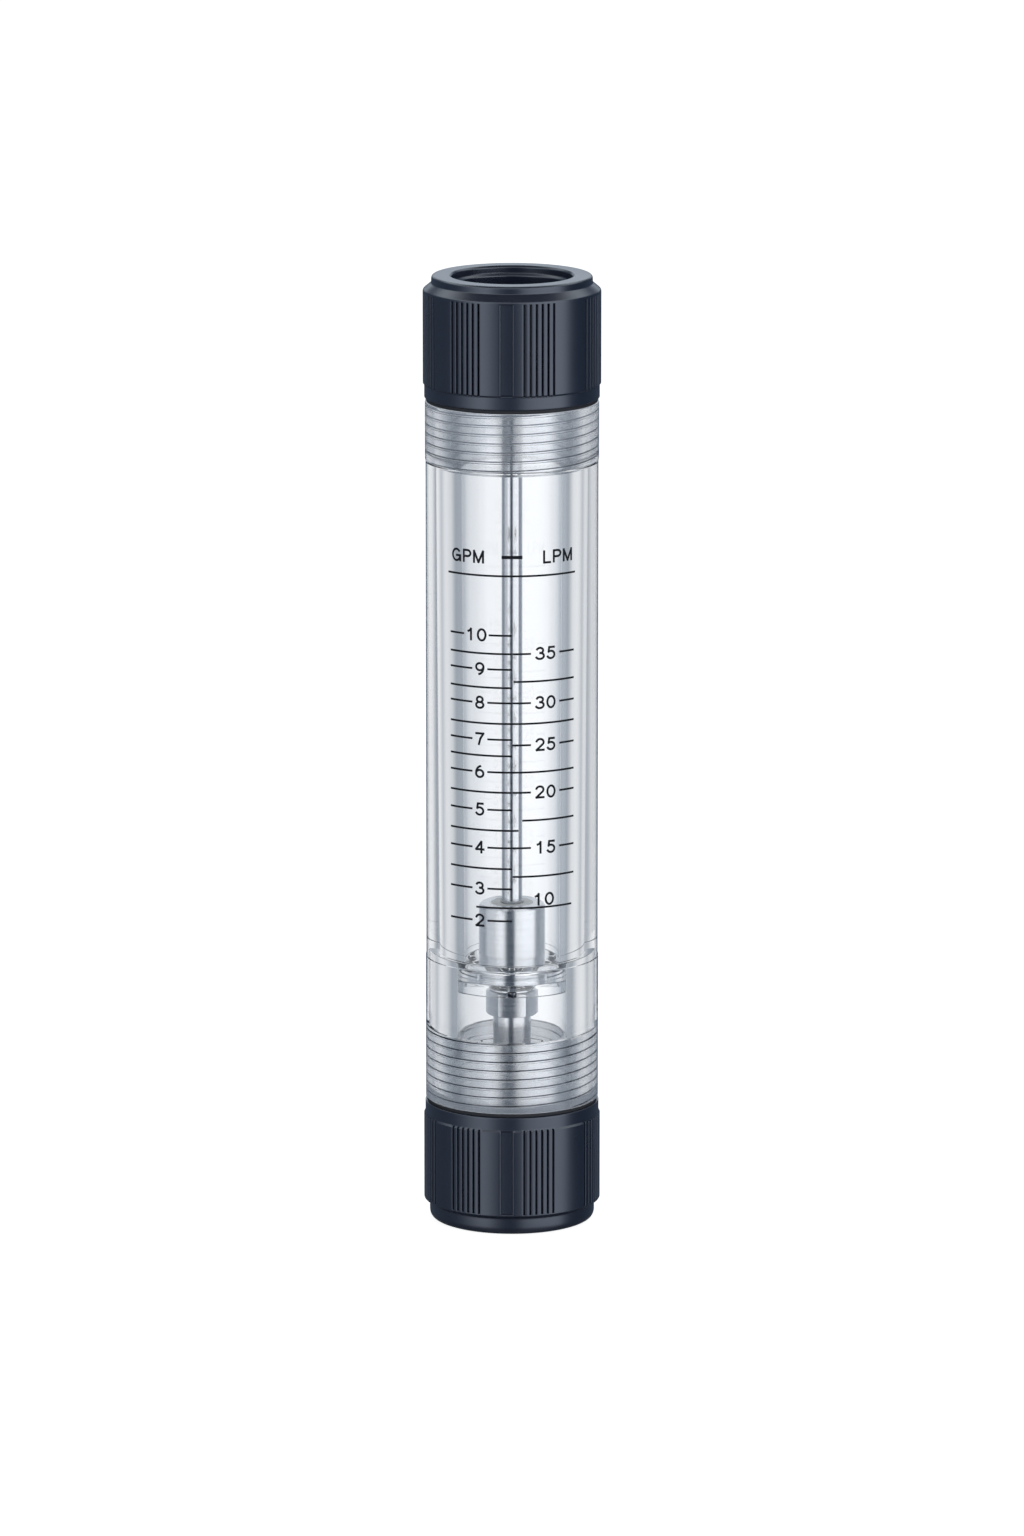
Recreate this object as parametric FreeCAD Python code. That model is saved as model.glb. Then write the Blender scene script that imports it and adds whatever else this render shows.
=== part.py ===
import FreeCAD, Part
import math
import os

# In-line flow meter (rotameter) with a clear tube and two screwed end connectors.
# Millimetres. The flow axis is Z and the meter stands on its bottom connector at Z = 0.
# Both ends are alike, so every end part is described by its distance from its own end.

V = FreeCAD.Vector

# ---- whole meter ----
total_height = 244.0

# ---- clear tube ----
tube_radius = 21.85            # outside, along the scale
tube_end_step = 0.15           # how much the threaded ends stand out from it
tube_shoulder_inset = 32.0     # from the end of the meter to the clear shoulder
tube_face_inset = 18.5         # from the end of the meter to the end face of the tube
lower_band_top = 69.0          # where the thicker lower end begins
upper_band_inset = 47.3        # from the top of the meter to where the thicker upper end begins
spigot_step = 2.1              # from the tube's outside in to the end that the connector screws onto
bore_low_radius = 12.2         # tapered bore at the orifice
bore_high_radius = 12.8        # tapered bore at its top
chamber_radius = 14.0          # inlet chamber under the orifice
holder_thread_radius = 15.15   # inside thread at both ends, at its crests
lower_thread_top = 49.15
spigot_chamfer = 0.8
tube_edge_chamfer = 0.25

# ---- end connectors ----
rib_stand = 0.5                # how much the ribbed grip stands out from the tube's end
collar_stand = 0.15
collar_height = 4.1
band_chamfer = 0.5
ring_step = 1.8                # from the grip in to the raised ring round the port
ring_height = 2.5
ring_fillet = 1.3
port_radius = 15.15            # G1 female thread, at its crests
port_depth = 16.0
port_chamfer = 0.5
lip_radius = 13.6              # stop behind the port thread
lip_thickness = 1.0
connector_fit = 0.1            # radial clearance on the tube's thread
group_middles_deg = [18, 66, 114, 162, 205, 247, 289, 328]
grooves_in_group = 6
groove_pitch_deg = 4.1
groove_width = 0.75
groove_depth = 0.55
groove_margin = 0.6            # plain edge left above and below the grooves
panel_middle_deg = -2.5        # shallow recess in the plain stretch at the front
panel_width = 3.2
panel_depth = 0.25

# ---- seals ----
seal_thickness = 1.0
seal_clearance = 0.3           # of both seals from the walls beside them
seal_inset = 0.3               # of the rim seal behind the tube's outside

# ---- guide rod and its holders ----
rod_radius = 2.65
rod_hole_clearance = 0.05
rod_end_length = 1.2           # rod beyond its end nuts
rod_chamfer = 0.5
holder_height = 5.0
holder_rim_width = 1.9
holder_web_height = 2.0
holder_hub_radius = 5.0
holder_spokes = 3
holder_spoke_width = 2.4
holder_fit = 0.1
upper_holder_inset = 5.9       # from the tube's top face to the upper holder
end_nut_height = 4.0
end_nut_across = 8.0
washer_thickness = 0.6
washer_radius = 4.4

# ---- seat under the float ----
plate_fit = 0.1
plate_bottom = 61.0
plate_web_height = 1.4
plate_height = 3.2
plate_rim_width = 1.4
plate_hub_radius = 5.5
plate_spokes = 4
plate_spoke_width = 2.0
orifice_clearance = 0.5        # round the float, inside the orifice
orifice_land = 1.8
seat_nut_height = 6.4
seat_nut_across = 12.2
seat_washer_radius = 5.8
nut_corner_rounding = 0.97     # share of the corner radius left by the turned chamfer
sleeve_radius = 4.85
bumper_thickness = 0.8
bumper_radius = 5.0

# ---- float ----
float_radius = 8.5
float_height = 19.7
float_gap = 0.2                # over the bumper at rest
float_edge = 0.6
float_running_fit = 0.3        # bush over the rod
bush_wall = 1.5
bush_height = 4.0
bush_flange_radius = 5.4
bush_flange_height = 0.8
float_relief = 0.5             # bore of the float over the rod between the bushes, beyond the bush bore

# ---- worked out ----
tube_end_radius = tube_radius + tube_end_step
spigot_radius = tube_end_radius - spigot_step
rib_radius = tube_end_radius + rib_stand
collar_radius = tube_end_radius + collar_stand
ring_radius = rib_radius - ring_step
upper_band_bottom = total_height - upper_band_inset
lower_shoulder = tube_shoulder_inset
upper_shoulder = total_height - tube_shoulder_inset
tube_bottom = tube_face_inset
tube_top = total_height - tube_face_inset
rim_inset = tube_shoulder_inset - seal_thickness
band_inset = ring_height + rib_radius - ring_radius
connector_bore_radius = spigot_radius + connector_fit
rod_hole_radius = rod_radius + rod_hole_clearance
plate_web_top = plate_bottom + plate_web_height
plate_top = plate_bottom + plate_height
orifice_radius = float_radius + orifice_clearance
lower_holder_bottom = lower_thread_top - holder_height
lower_hub_top = lower_holder_bottom + holder_web_height
upper_holder_seat = tube_top - upper_holder_inset - holder_height
seat_nut_bottom = plate_bottom - washer_thickness - seat_nut_height
float_bottom = plate_web_top + bumper_thickness + float_gap
lower_nut_bottom = lower_holder_bottom - washer_thickness - end_nut_height
upper_hub_top = upper_holder_seat + holder_web_height
upper_nut_top = upper_hub_top + washer_thickness + end_nut_height
rod_bottom = lower_nut_bottom - rod_end_length
rod_top = upper_nut_top + rod_end_length


def revolved(points):
    """Solid turned about Z from (radius, height) corners."""
    wire = Part.makePolygon([V(r, 0, z) for r, z in points + points[:1]])
    return Part.Face(wire).revolve(V(0, 0, 0), V(0, 0, 1), 360)


def ring(inner, outer, low, high):
    """Flat ring or tube."""
    return revolved([(inner, low), (outer, low), (outer, high), (inner, high)])


def at_top(shape):
    """The same part at the other end of the meter."""
    turned = shape.copy()
    turned.rotate(V(0, 0, total_height / 2), V(0, 1, 0), 180)
    return turned


def meter_body():
    """Clear tube: spigots, two plain bands, tapered bore, chamber and threaded ends."""
    step = tube_end_radius - tube_radius
    return revolved([
        (holder_thread_radius, tube_bottom),
        (spigot_radius - spigot_chamfer, tube_bottom),
        (spigot_radius, tube_bottom + spigot_chamfer),
        (spigot_radius, lower_shoulder),
        (tube_end_radius - tube_edge_chamfer, lower_shoulder),
        (tube_end_radius, lower_shoulder + tube_edge_chamfer),
        (tube_end_radius, lower_band_top - step),
        (tube_radius, lower_band_top),
        (tube_radius, upper_band_bottom),
        (tube_end_radius, upper_band_bottom + step),
        (tube_end_radius, upper_shoulder - tube_edge_chamfer),
        (tube_end_radius - tube_edge_chamfer, upper_shoulder),
        (spigot_radius, upper_shoulder),
        (spigot_radius, tube_top - spigot_chamfer),
        (spigot_radius - spigot_chamfer, tube_top),
        (holder_thread_radius, tube_top),
        (holder_thread_radius, upper_band_bottom),
        (bore_high_radius, upper_band_bottom),
        (bore_low_radius, lower_band_top),
        (chamber_radius, lower_band_top),
        (chamber_radius, lower_thread_top),
        (holder_thread_radius, lower_thread_top),
    ])


def connector_blank():
    """Turned form of the bottom connector, before its grooves and its rounded ring."""
    skirt_floor = port_depth + lip_thickness
    band_top = rim_inset - collar_height
    return revolved([
        (port_radius + port_chamfer, 0),
        (ring_radius, 0),
        (ring_radius, ring_height),
        (rib_radius, band_inset),
        (rib_radius, band_top - band_chamfer),
        (collar_radius, band_top),
        (collar_radius, rim_inset),
        (connector_bore_radius, rim_inset),
        (connector_bore_radius, skirt_floor),
        (lip_radius, skirt_floor),
        (lip_radius, port_depth),
        (port_radius, port_depth),
        (port_radius, port_chamfer),
    ])


def rounded_ring(blank):
    """Rounds the outer edge of the raised ring."""
    edges = [e for e in blank.Edges if is_ring_edge(e)]
    return blank.makeFillet(ring_fillet, edges)


def is_ring_edge(edge):
    """The circle where the ring's side meets the end face."""
    box = edge.BoundBox
    flat = abs(box.ZMax) < 1e-6 and abs(box.ZMin) < 1e-6
    return flat and abs(box.XMax - ring_radius) < 1e-6


def upright_cut(width, depth, angle_deg):
    """Block that cuts the band at one angle, measured from the front, to one depth."""
    low = band_inset + groove_margin
    high = rim_inset - collar_height - groove_margin
    block = Part.makeBox(width, depth + rib_radius, high - low)
    block.translate(V(-width / 2, -2 * rib_radius, low))
    block.rotate(V(0, 0, 0), V(0, 0, 1), angle_deg)
    return block


def grip_cuts():
    """Groups of upright grooves round the band, and the shallow panel at the front."""
    cuts = [upright_cut(panel_width, panel_depth, panel_middle_deg)]
    for middle in group_middles_deg:
        for index in range(grooves_in_group):
            offset = (index - (grooves_in_group - 1) / 2) * groove_pitch_deg
            cuts.append(upright_cut(groove_width, groove_depth, middle + offset))
    return cuts


def bottom_connector():
    return rounded_ring(connector_blank()).cut(grip_cuts())


def top_connector():
    """Mirror image in Z, with its grooves in line with those of the bottom connector."""
    return bottom_connector().mirror(V(0, 0, total_height / 2), V(0, 0, 1))


def bottom_rim_seal():
    """Black ring between the tube's shoulder and the connector's rim."""
    return ring(spigot_radius + seal_clearance, tube_end_radius - seal_inset,
                rim_inset, tube_shoulder_inset)


def bottom_face_gasket():
    """Flat gasket between the connector's stop and the end of the tube."""
    return ring(lip_radius + seal_clearance, connector_bore_radius - seal_clearance,
                port_depth + lip_thickness, tube_face_inset)


def spokes(count, width, inner, outer, low, high):
    """Flat arms between a hub and a rim."""
    arms = []
    for index in range(count):
        arm = Part.makeBox(outer - inner, width, high - low)
        arm.translate(V(inner, -width / 2, low))
        arm.rotate(V(0, 0, 0), V(0, 0, 1), 90 + index * 360.0 / count)
        arms.append(arm)
    return arms


def rod_holder(seat, web_side):
    """Spoked holder screwed into the tube; its web is at the end away from the seat."""
    outer = holder_thread_radius - holder_fit
    inner = outer - holder_rim_width
    low = min(seat, seat + web_side * holder_height)
    web = sorted([seat + web_side * holder_height, seat + web_side * (holder_height - holder_web_height)])
    rim = ring(inner, outer, low, low + holder_height)
    hub = ring(rod_hole_radius, holder_hub_radius, web[0], web[1])
    overlap = holder_rim_width / 2
    arms = spokes(holder_spokes, holder_spoke_width, holder_hub_radius - overlap, inner + overlap, *web)
    return rim.fuse([hub] + arms).removeSplitter()


def lower_rod_holder():
    return rod_holder(lower_thread_top, -1)


def upper_rod_holder():
    """Web below, rim above, so that the hub faces the float."""
    return rod_holder(upper_holder_seat + holder_height, -1)


def hex_nut(across, low, high):
    """Hexagon nut with turned corners and one flat to the front."""
    corner = across / 2 / math.cos(math.pi / 6)
    corners = [V(corner * math.cos(math.radians(60 * i)), corner * math.sin(math.radians(60 * i)), low)
               for i in range(7)]
    prism = Part.Face(Part.makePolygon(corners)).extrude(V(0, 0, high - low))
    small = corner * nut_corner_rounding - (corner - across / 2) / 2
    slope = corner - small
    turned = revolved([(rod_hole_radius, low), (small, low), (corner, low + slope),
                       (corner, high - slope), (small, high), (rod_hole_radius, high)])
    return prism.common(turned)


def seat_nut():
    return hex_nut(seat_nut_across, seat_nut_bottom, seat_nut_bottom + seat_nut_height)


def lower_end_nut():
    return hex_nut(end_nut_across, lower_nut_bottom, lower_nut_bottom + end_nut_height)


def upper_end_nut():
    return hex_nut(end_nut_across, upper_nut_top - end_nut_height, upper_nut_top)


def seat_washer():
    return ring(rod_hole_radius, seat_washer_radius, plate_bottom - washer_thickness, plate_bottom)


def lower_end_washer():
    return ring(rod_hole_radius, washer_radius, lower_holder_bottom - washer_thickness, lower_holder_bottom)


def upper_end_washer():
    return ring(rod_hole_radius, washer_radius, upper_hub_top, upper_hub_top + washer_thickness)


def spacer_sleeve():
    """Sleeve between the lower holder and the seat nut."""
    return ring(rod_hole_radius, sleeve_radius, lower_hub_top, seat_nut_bottom)


def seat_plate():
    """Spoked steel plate that carries the rod under the orifice."""
    outer = chamber_radius - plate_fit
    inner = outer - plate_rim_width
    rim = ring(inner, outer, plate_bottom, plate_top)
    hub = ring(rod_hole_radius, plate_hub_radius, plate_bottom, plate_web_top)
    overlap = plate_rim_width / 2
    arms = spokes(plate_spokes, plate_spoke_width, plate_hub_radius - overlap, inner + overlap,
                  plate_bottom, plate_web_top)
    return rim.fuse([hub] + arms).removeSplitter()


def orifice_ring():
    """Clear ring that narrows the bore round the resting float, flared upwards."""
    outer = chamber_radius - plate_fit
    return revolved([(orifice_radius, plate_top), (outer, plate_top), (outer, lower_band_top),
                     (bore_low_radius, lower_band_top), (orifice_radius, plate_top + orifice_land)])


def lower_bumper():
    return ring(rod_hole_radius, bumper_radius, plate_web_top, plate_web_top + bumper_thickness)


def upper_bumper():
    return ring(rod_hole_radius, bumper_radius, upper_holder_seat - bumper_thickness, upper_holder_seat)


def guide_rod():
    """Plain rod through the whole meter, with chamfered ends."""
    end = rod_radius - rod_chamfer
    return revolved([(0, rod_bottom), (end, rod_bottom), (rod_radius, rod_bottom + rod_chamfer),
                     (rod_radius, rod_top - rod_chamfer), (end, rod_top), (0, rod_top)])


def float_body():
    """Turned float with a sharp upper edge band and a pocket for a bush at each end."""
    bush_outer = rod_radius + float_running_fit + bush_wall
    bore = rod_radius + float_running_fit + float_relief
    low = float_bottom
    high = float_bottom + float_height
    edge = float_radius - float_edge
    return revolved([
        (bush_flange_radius, low), (edge, low), (float_radius, low + float_edge),
        (float_radius, high - float_edge), (edge, high), (bush_flange_radius, high),
        (bush_flange_radius, high - bush_flange_height), (bush_outer, high - bush_flange_height),
        (bush_outer, high - bush_height), (bore, high - bush_height),
        (bore, low + bush_height), (bush_outer, low + bush_height),
        (bush_outer, low + bush_flange_height), (bush_flange_radius, low + bush_flange_height),
    ])


def float_bush(face, inward):
    """Flanged bush whose flange lies flush with one end face of the float."""
    inner = rod_radius + float_running_fit
    outer = inner + bush_wall
    flange = face + inward * bush_flange_height
    end = face + inward * bush_height
    return revolved([(inner, face), (bush_flange_radius, face), (bush_flange_radius, flange),
                     (outer, flange), (outer, end), (inner, end)])


def lower_float_bush():
    return float_bush(float_bottom, 1)


def upper_float_bush():
    return float_bush(float_bottom + float_height, -1)


parts = {
    "meter_body": meter_body(),
    "bottom_connector": bottom_connector(),
    "top_connector": top_connector(),
    "bottom_rim_seal": bottom_rim_seal(),
    "top_rim_seal": at_top(bottom_rim_seal()),
    "bottom_face_gasket": bottom_face_gasket(),
    "top_face_gasket": at_top(bottom_face_gasket()),
    "guide_rod": guide_rod(),
    "lower_rod_holder": lower_rod_holder(),
    "upper_rod_holder": upper_rod_holder(),
    "lower_end_nut": lower_end_nut(),
    "upper_end_nut": upper_end_nut(),
    "lower_end_washer": lower_end_washer(),
    "upper_end_washer": upper_end_washer(),
    "spacer_sleeve": spacer_sleeve(),
    "seat_nut": seat_nut(),
    "seat_washer": seat_washer(),
    "seat_plate": seat_plate(),
    "orifice_ring": orifice_ring(),
    "lower_bumper": lower_bumper(),
    "upper_bumper": upper_bumper(),
    "float_body": float_body(),
    "lower_float_bush": lower_float_bush(),
    "upper_float_bush": upper_float_bush(),
}

os.makedirs("parts", exist_ok=True)
for name, shape in parts.items():
    shape.exportStep("parts/" + name + ".step")
    print(name, "volume", round(shape.Volume, 1), "valid", shape.isValid(), "solids", len(shape.Solids))
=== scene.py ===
import math

import bpy
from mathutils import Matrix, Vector


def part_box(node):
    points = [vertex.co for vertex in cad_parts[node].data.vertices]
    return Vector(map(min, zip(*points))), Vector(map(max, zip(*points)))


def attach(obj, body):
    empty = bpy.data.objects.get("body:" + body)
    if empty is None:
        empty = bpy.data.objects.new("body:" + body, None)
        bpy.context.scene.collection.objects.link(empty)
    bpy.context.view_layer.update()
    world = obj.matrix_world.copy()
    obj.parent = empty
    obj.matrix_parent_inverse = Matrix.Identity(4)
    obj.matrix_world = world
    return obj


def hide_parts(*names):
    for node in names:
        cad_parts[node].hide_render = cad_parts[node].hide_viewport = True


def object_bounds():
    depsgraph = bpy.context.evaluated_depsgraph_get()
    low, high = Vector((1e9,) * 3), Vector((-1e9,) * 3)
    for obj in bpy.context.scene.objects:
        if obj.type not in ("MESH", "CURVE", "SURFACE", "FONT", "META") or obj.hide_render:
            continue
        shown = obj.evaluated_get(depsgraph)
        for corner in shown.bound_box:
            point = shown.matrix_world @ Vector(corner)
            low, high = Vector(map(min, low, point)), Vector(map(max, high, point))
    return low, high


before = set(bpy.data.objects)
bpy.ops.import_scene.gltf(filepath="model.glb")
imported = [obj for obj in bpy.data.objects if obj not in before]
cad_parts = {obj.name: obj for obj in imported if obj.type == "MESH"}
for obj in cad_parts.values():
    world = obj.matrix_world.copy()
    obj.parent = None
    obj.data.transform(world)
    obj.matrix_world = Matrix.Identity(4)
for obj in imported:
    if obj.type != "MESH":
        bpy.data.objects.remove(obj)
CAD_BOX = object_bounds()

# An in-line flow meter: a clear tube with a printed scale, a steel float on a guide rod and two
# black screwed end fittings. Metres. +Z is the flow axis and the scale faces -Y.

MM = 0.001
ROUND = 192                     # faces round a turned piece
THREAD_STEPS = 96               # faces round one turn of a thread


def corner(node, end, axis):
    """One coordinate of a node's box at rest: end 0 is the low corner, 1 the high one."""
    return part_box(node)[end][axis]


def half_width(node):
    return corner(node, 1, 0)


HEIGHT = CAD_BOX[1][2]
TUBE_BOTTOM = corner("meter_body", 0, 2)
TUBE_TOP = corner("meter_body", 1, 2)
SHOULDER_LOW = corner("bottom_rim_seal", 1, 2)
SHOULDER_HIGH = corner("top_rim_seal", 0, 2)
END_BAND_RADIUS = half_width("meter_body")
SCALE_RADIUS = END_BAND_RADIUS - 0.15 * MM
CHAMBER_TOP = corner("orifice_ring", 1, 2)
THREAD_TOP_LOW = corner("lower_rod_holder", 1, 2)
UPPER_BAND_BOTTOM = HEIGHT - 47.3 * MM
UPPER_RUN_OUT = 1.4 * MM        # the upper inside thread runs a little past its band
SPIGOT_RADIUS = 19.9 * MM
CLEARANCE = 0.03 * MM           # air between a clear insert and the tube
BORE_LOW = 12.2 * MM
BORE_HIGH = 12.8 * MM
CHAMBER_RADIUS = 14.0 * MM
HOLDER_CREST = 15.15 * MM
HOLDER_ROOT = 15.75 * MM
HOLDER_LAND = 0.66              # flat share of the tube thread, the rest is its groove
PORT_CREST = 15.15 * MM
PORT_ROOT = 16.6 * MM
PORT_LAND = 0.12
PITCH = 2.309 * MM
PORT_DEPTH = 16.0 * MM
PORT_THREAD = 15.0 * MM
PORT_LIP = 1.9 * MM             # plain wall before the first thread
INNER_STOP_RADIUS = 13.6 * MM   # of the ledge in an end fitting that carries the gasket
FIT = 0.1 * MM                  # air between a spigot and the fitting round it
RIM_INSET = corner("bottom_connector", 1, 2)
RIB_RADIUS = half_width("bottom_connector")
COLLAR_RADIUS = 22.15 * MM
COLLAR_HEIGHT = 3.2 * MM
COLLAR_START = RIM_INSET - COLLAR_HEIGHT
BAND_END = COLLAR_START - 0.5 * MM
COLLAR_HOLD = 0.2 * MM          # a corner just past the collar's step keeps its shading clean
BAND_HOLD = 0.25 * MM           # the same beside the ends of the grooves
GROOVE_DEPTH = 0.9 * MM
GROOVE_FLOOR_EDGE = 0.19 * MM
RIB_EDGE = 0.16 * MM
GROUP_MIDDLES_DEG = [18, 66, 114, 162, 205, 247, 289, 328]
GROOVES_FROM_MIDDLE_DEG = [-10, -6, -2, 2, 6, 10]
PANEL_DEG = (-8, 1)
PANEL_DEPTH = 0.5 * MM
PANEL_EDGE = 0.26 * MM
ROD_HOLE_RADIUS = 2.7 * MM      # in every piece that the rod passes through, but for the bushes
BUSH_BORE_RADIUS = 2.95 * MM
BUSH_RADIUS = 4.45 * MM
BUSH_FLANGE = 0.8 * MM
BUSH_LENGTH = 4 * MM
FLOAT_BORE_RADIUS = 3.45 * MM
FLOAT_EDGE = 0.6 * MM


# ---------------------------------------------------------------- modelling helpers

def deselect_all():
    for obj in list(bpy.context.selected_objects):
        obj.select_set(False)


def work_on(obj):
    """Makes one object the only selected and active one."""
    deselect_all()
    obj.select_set(True)
    bpy.context.view_layer.objects.active = obj


def edit(obj):
    """Opens a mesh for editing with all of it selected."""
    work_on(obj)
    bpy.ops.object.mode_set(mode="EDIT")
    bpy.ops.mesh.select_mode(type="VERT")
    bpy.ops.mesh.select_all(action="SELECT")


def edit_faces(obj, chosen):
    """Opens a mesh for editing with only the chosen faces selected."""
    work_on(obj)
    bpy.ops.object.mode_set(mode="EDIT")
    bpy.ops.mesh.select_mode(type="FACE")
    bpy.ops.mesh.select_all(action="DESELECT")
    leave_edit()
    for face in obj.data.polygons:
        face.select = chosen(face)
    bpy.ops.object.mode_set(mode="EDIT")


def leave_edit():
    bpy.ops.object.mode_set(mode="OBJECT")


def finish_mesh(obj):
    """Merges doubles and points the faces outwards."""
    edit(obj)
    bpy.ops.mesh.remove_doubles(threshold=1e-7)
    bpy.ops.mesh.normals_make_consistent(inside=False)
    leave_edit()


def smooth(obj, angle_deg=35):
    work_on(obj)
    bpy.ops.object.shade_smooth_by_angle(angle=math.radians(angle_deg))


def apply_place(obj):
    work_on(obj)
    bpy.ops.object.transform_apply(location=True, rotation=True, scale=True)


def apply_modifier(obj, kind, **settings):
    work_on(obj)
    modifier = obj.modifiers.new(kind.lower(), kind)
    for name, value in settings.items():
        setattr(modifier, name, value)
    bpy.ops.object.modifier_apply(modifier=modifier.name)


def joined(name, objects):
    deselect_all()
    for obj in objects:
        obj.select_set(True)
    bpy.context.view_layer.objects.active = objects[0]
    if len(objects) > 1:
        bpy.ops.object.join()
    objects[0].name = name
    return objects[0]


def cut_by(obj, cutter, operation="DIFFERENCE"):
    apply_modifier(obj, "BOOLEAN", operation=operation, object=cutter, solver="EXACT")
    bpy.data.objects.remove(cutter)


def drawn_line(name, points):
    """A line of edges through (radius, height) points, drawn by extruding one vertex."""
    deselect_all()
    bpy.ops.mesh.primitive_plane_add(size=MM)
    line = bpy.context.object
    line.name = name
    edit(line)
    bpy.ops.mesh.merge(type="CENTER")
    bpy.ops.transform.translate(value=(points[0][0], 0, points[0][1]))
    for (r0, z0), (r1, z1) in zip(points, points[1:]):
        bpy.ops.mesh.extrude_region_move(TRANSFORM_OT_translate={"value": (r1 - r0, 0, z1 - z0)})
    leave_edit()
    return line


def softened(corners, rounding, hold=0.35 * MM):
    """Corners of a section, each rounded by its own third number (0 is sharp) or by the common one.

    A holding point beyond each small arc keeps the shading of the flats clean.
    """
    out = []
    for index, (r, z, *own) in enumerate(corners):
        if r == 0 or own == [0]:
            out.append((r, z))
            continue
        here = Vector((r, z))
        before = Vector(corners[index - 1][:2]) - here
        after = Vector(corners[(index + 1) % len(corners)][:2]) - here
        share, steps = (0.5, 9) if own else (0.3, 4)
        reach = min(own[0] if own else rounding, share * before.length, share * after.length)
        towards, away = before.normalized(), after.normalized()
        start, end = here + towards * reach, here + away * reach
        if before.length > 4 * hold and not own:
            out.append(tuple(start + towards * hold))
        for step in range(steps + 1):
            t = step / steps
            out.append(tuple(start * (1 - t) ** 2 + here * 2 * t * (1 - t) + end * t ** 2))
        if after.length > 4 * hold and not own:
            out.append(tuple(end + away * hold))
    return out


def turned(name, corners, rounding=0.2 * MM, steps=ROUND):
    """A closed section turned about the flow axis."""
    section = softened(corners, rounding)
    on_axis = section[0][0] == 0 and section[-1][0] == 0
    obj = drawn_line(name, section if on_axis else section + section[:1])
    edit(obj)
    bpy.ops.mesh.spin(steps=steps, angle=2 * math.pi, center=(0, 0, 0), axis=(0, 0, 1))
    leave_edit()
    finish_mesh(obj)
    return obj


def thread_core(crest, root, land, low, high, ease=0.0):
    """A closed threaded rod: what the tap takes out of a wall.

    land is the flat share of a pitch, and ease is how far the edges of the crest are rounded.
    """
    turns = math.ceil((high - low) / PITCH) + 3
    middle = (1 + land) / 2
    root_start, root_end = middle - 0.06, middle + 0.06
    tooth = [(crest, 0), (crest, land), (root, root_start), (root, root_end), (crest, 1)]
    if ease:
        share = ease / PITCH
        tooth = [(crest, share), (crest, land - share), (crest + 0.2 * ease, land - 0.3 * share),
                 (crest + 0.8 * ease, land + 0.3 * share), (root, root_start), (root, root_end),
                 (crest + 0.8 * ease, 1 - 0.3 * share), (crest + 0.2 * ease, 1 + 0.3 * share),
                 (crest, 1 + share)]
    core = drawn_line("thread_core", [(r, z * PITCH + low - 2 * PITCH) for r, z in tooth])
    apply_modifier(core, "SCREW", axis="Z", screw_offset=PITCH, iterations=turns, steps=THREAD_STEPS,
                   render_steps=THREAD_STEPS, use_merge_vertices=False)
    edit(core)
    bpy.ops.mesh.remove_doubles(threshold=1e-7)
    for height, clear_above in ((low, False), (high, True)):
        bpy.ops.mesh.select_all(action="SELECT")
        bpy.ops.mesh.bisect(plane_co=(0, 0, height), plane_no=(0, 0, 1), use_fill=True,
                            clear_inner=not clear_above, clear_outer=clear_above)
    bpy.ops.mesh.select_all(action="SELECT")
    bpy.ops.mesh.normals_make_consistent(inside=False)
    leave_edit()
    return core


def turned_over(obj):
    """Turns a piece over in height, to sit at the top end of the meter."""
    edit(obj)
    bpy.ops.transform.resize(value=(1, 1, -1), center_override=(0, 0, HEIGHT / 2))
    bpy.ops.mesh.normals_make_consistent(inside=False)
    leave_edit()


# ---------------------------------------------------------------- shader helpers

class Field:
    """One node output. Arithmetic on it adds Math nodes."""

    def __init__(self, recipe, socket):
        self.recipe = recipe
        self.socket = socket

    def math(self, operation, *others):
        return self.recipe.add("ShaderNodeMath", {"operation": operation}, (self,) + others)

    def __add__(self, other):
        return self.math("ADD", other)

    __radd__ = __add__

    def __sub__(self, other):
        return self.math("SUBTRACT", other)

    def __rsub__(self, other):
        return (self * -1.0) + other

    def __mul__(self, other):
        return self.math("MULTIPLY", other)

    __rmul__ = __mul__

    def __truediv__(self, other):
        return self.math("DIVIDE", other)


class Recipe:
    """The node tree of one material or of the world."""

    def __init__(self, tree):
        self.tree = tree
        tree.nodes.clear()

    def add(self, kind, settings=None, inputs=(), output=0):
        """Adds a node: settings first, then its inputs by place or by name. Returns one output."""
        node = self.tree.nodes.new(kind)
        for name, value in (settings or {}).items():
            if name == "stops":
                set_stops(node, value)
            else:
                setattr(node, name, value)
        pairs = inputs.items() if isinstance(inputs, dict) else enumerate(inputs)
        for name, value in pairs:
            if isinstance(value, Field):
                self.tree.links.new(value.socket, node.inputs[name])
            else:
                node.inputs[name].default_value = value
        return Field(self, node.outputs[output]) if node.outputs else node


def set_stops(node, stops):
    """Colour stops of a ramp, as (place, colour) pairs."""
    elements = node.color_ramp.elements
    while len(elements) > 1:
        elements.remove(elements[-1])
    elements[0].position, elements[0].color = stops[0][0], tuple(stops[0][1]) + (1,)
    for place, colour in stops[1:]:
        elements.new(place).color = tuple(colour) + (1,)


def new_material(name):
    material = bpy.data.materials.new(name)
    material.use_nodes = True
    return material, Recipe(material.node_tree)


def object_place(recipe, stretch=(1, 1, 1)):
    """Object coordinates, stretched to set how far a pattern runs each way."""
    place = recipe.add("ShaderNodeTexCoord", output="Object")
    return recipe.add("ShaderNodeMapping", inputs={"Vector": place, "Scale": stretch})


def noise(recipe, place, scale, detail=3.0):
    return recipe.add("ShaderNodeTexNoise", {"noise_dimensions": "3D"},
                      {"Vector": place, "Scale": scale, "Detail": detail}, output="Fac")


def bump(recipe, height, distance, strength=1.0):
    return recipe.add("ShaderNodeBump", inputs={"Height": height, "Distance": distance,
                                                "Strength": strength})


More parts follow.
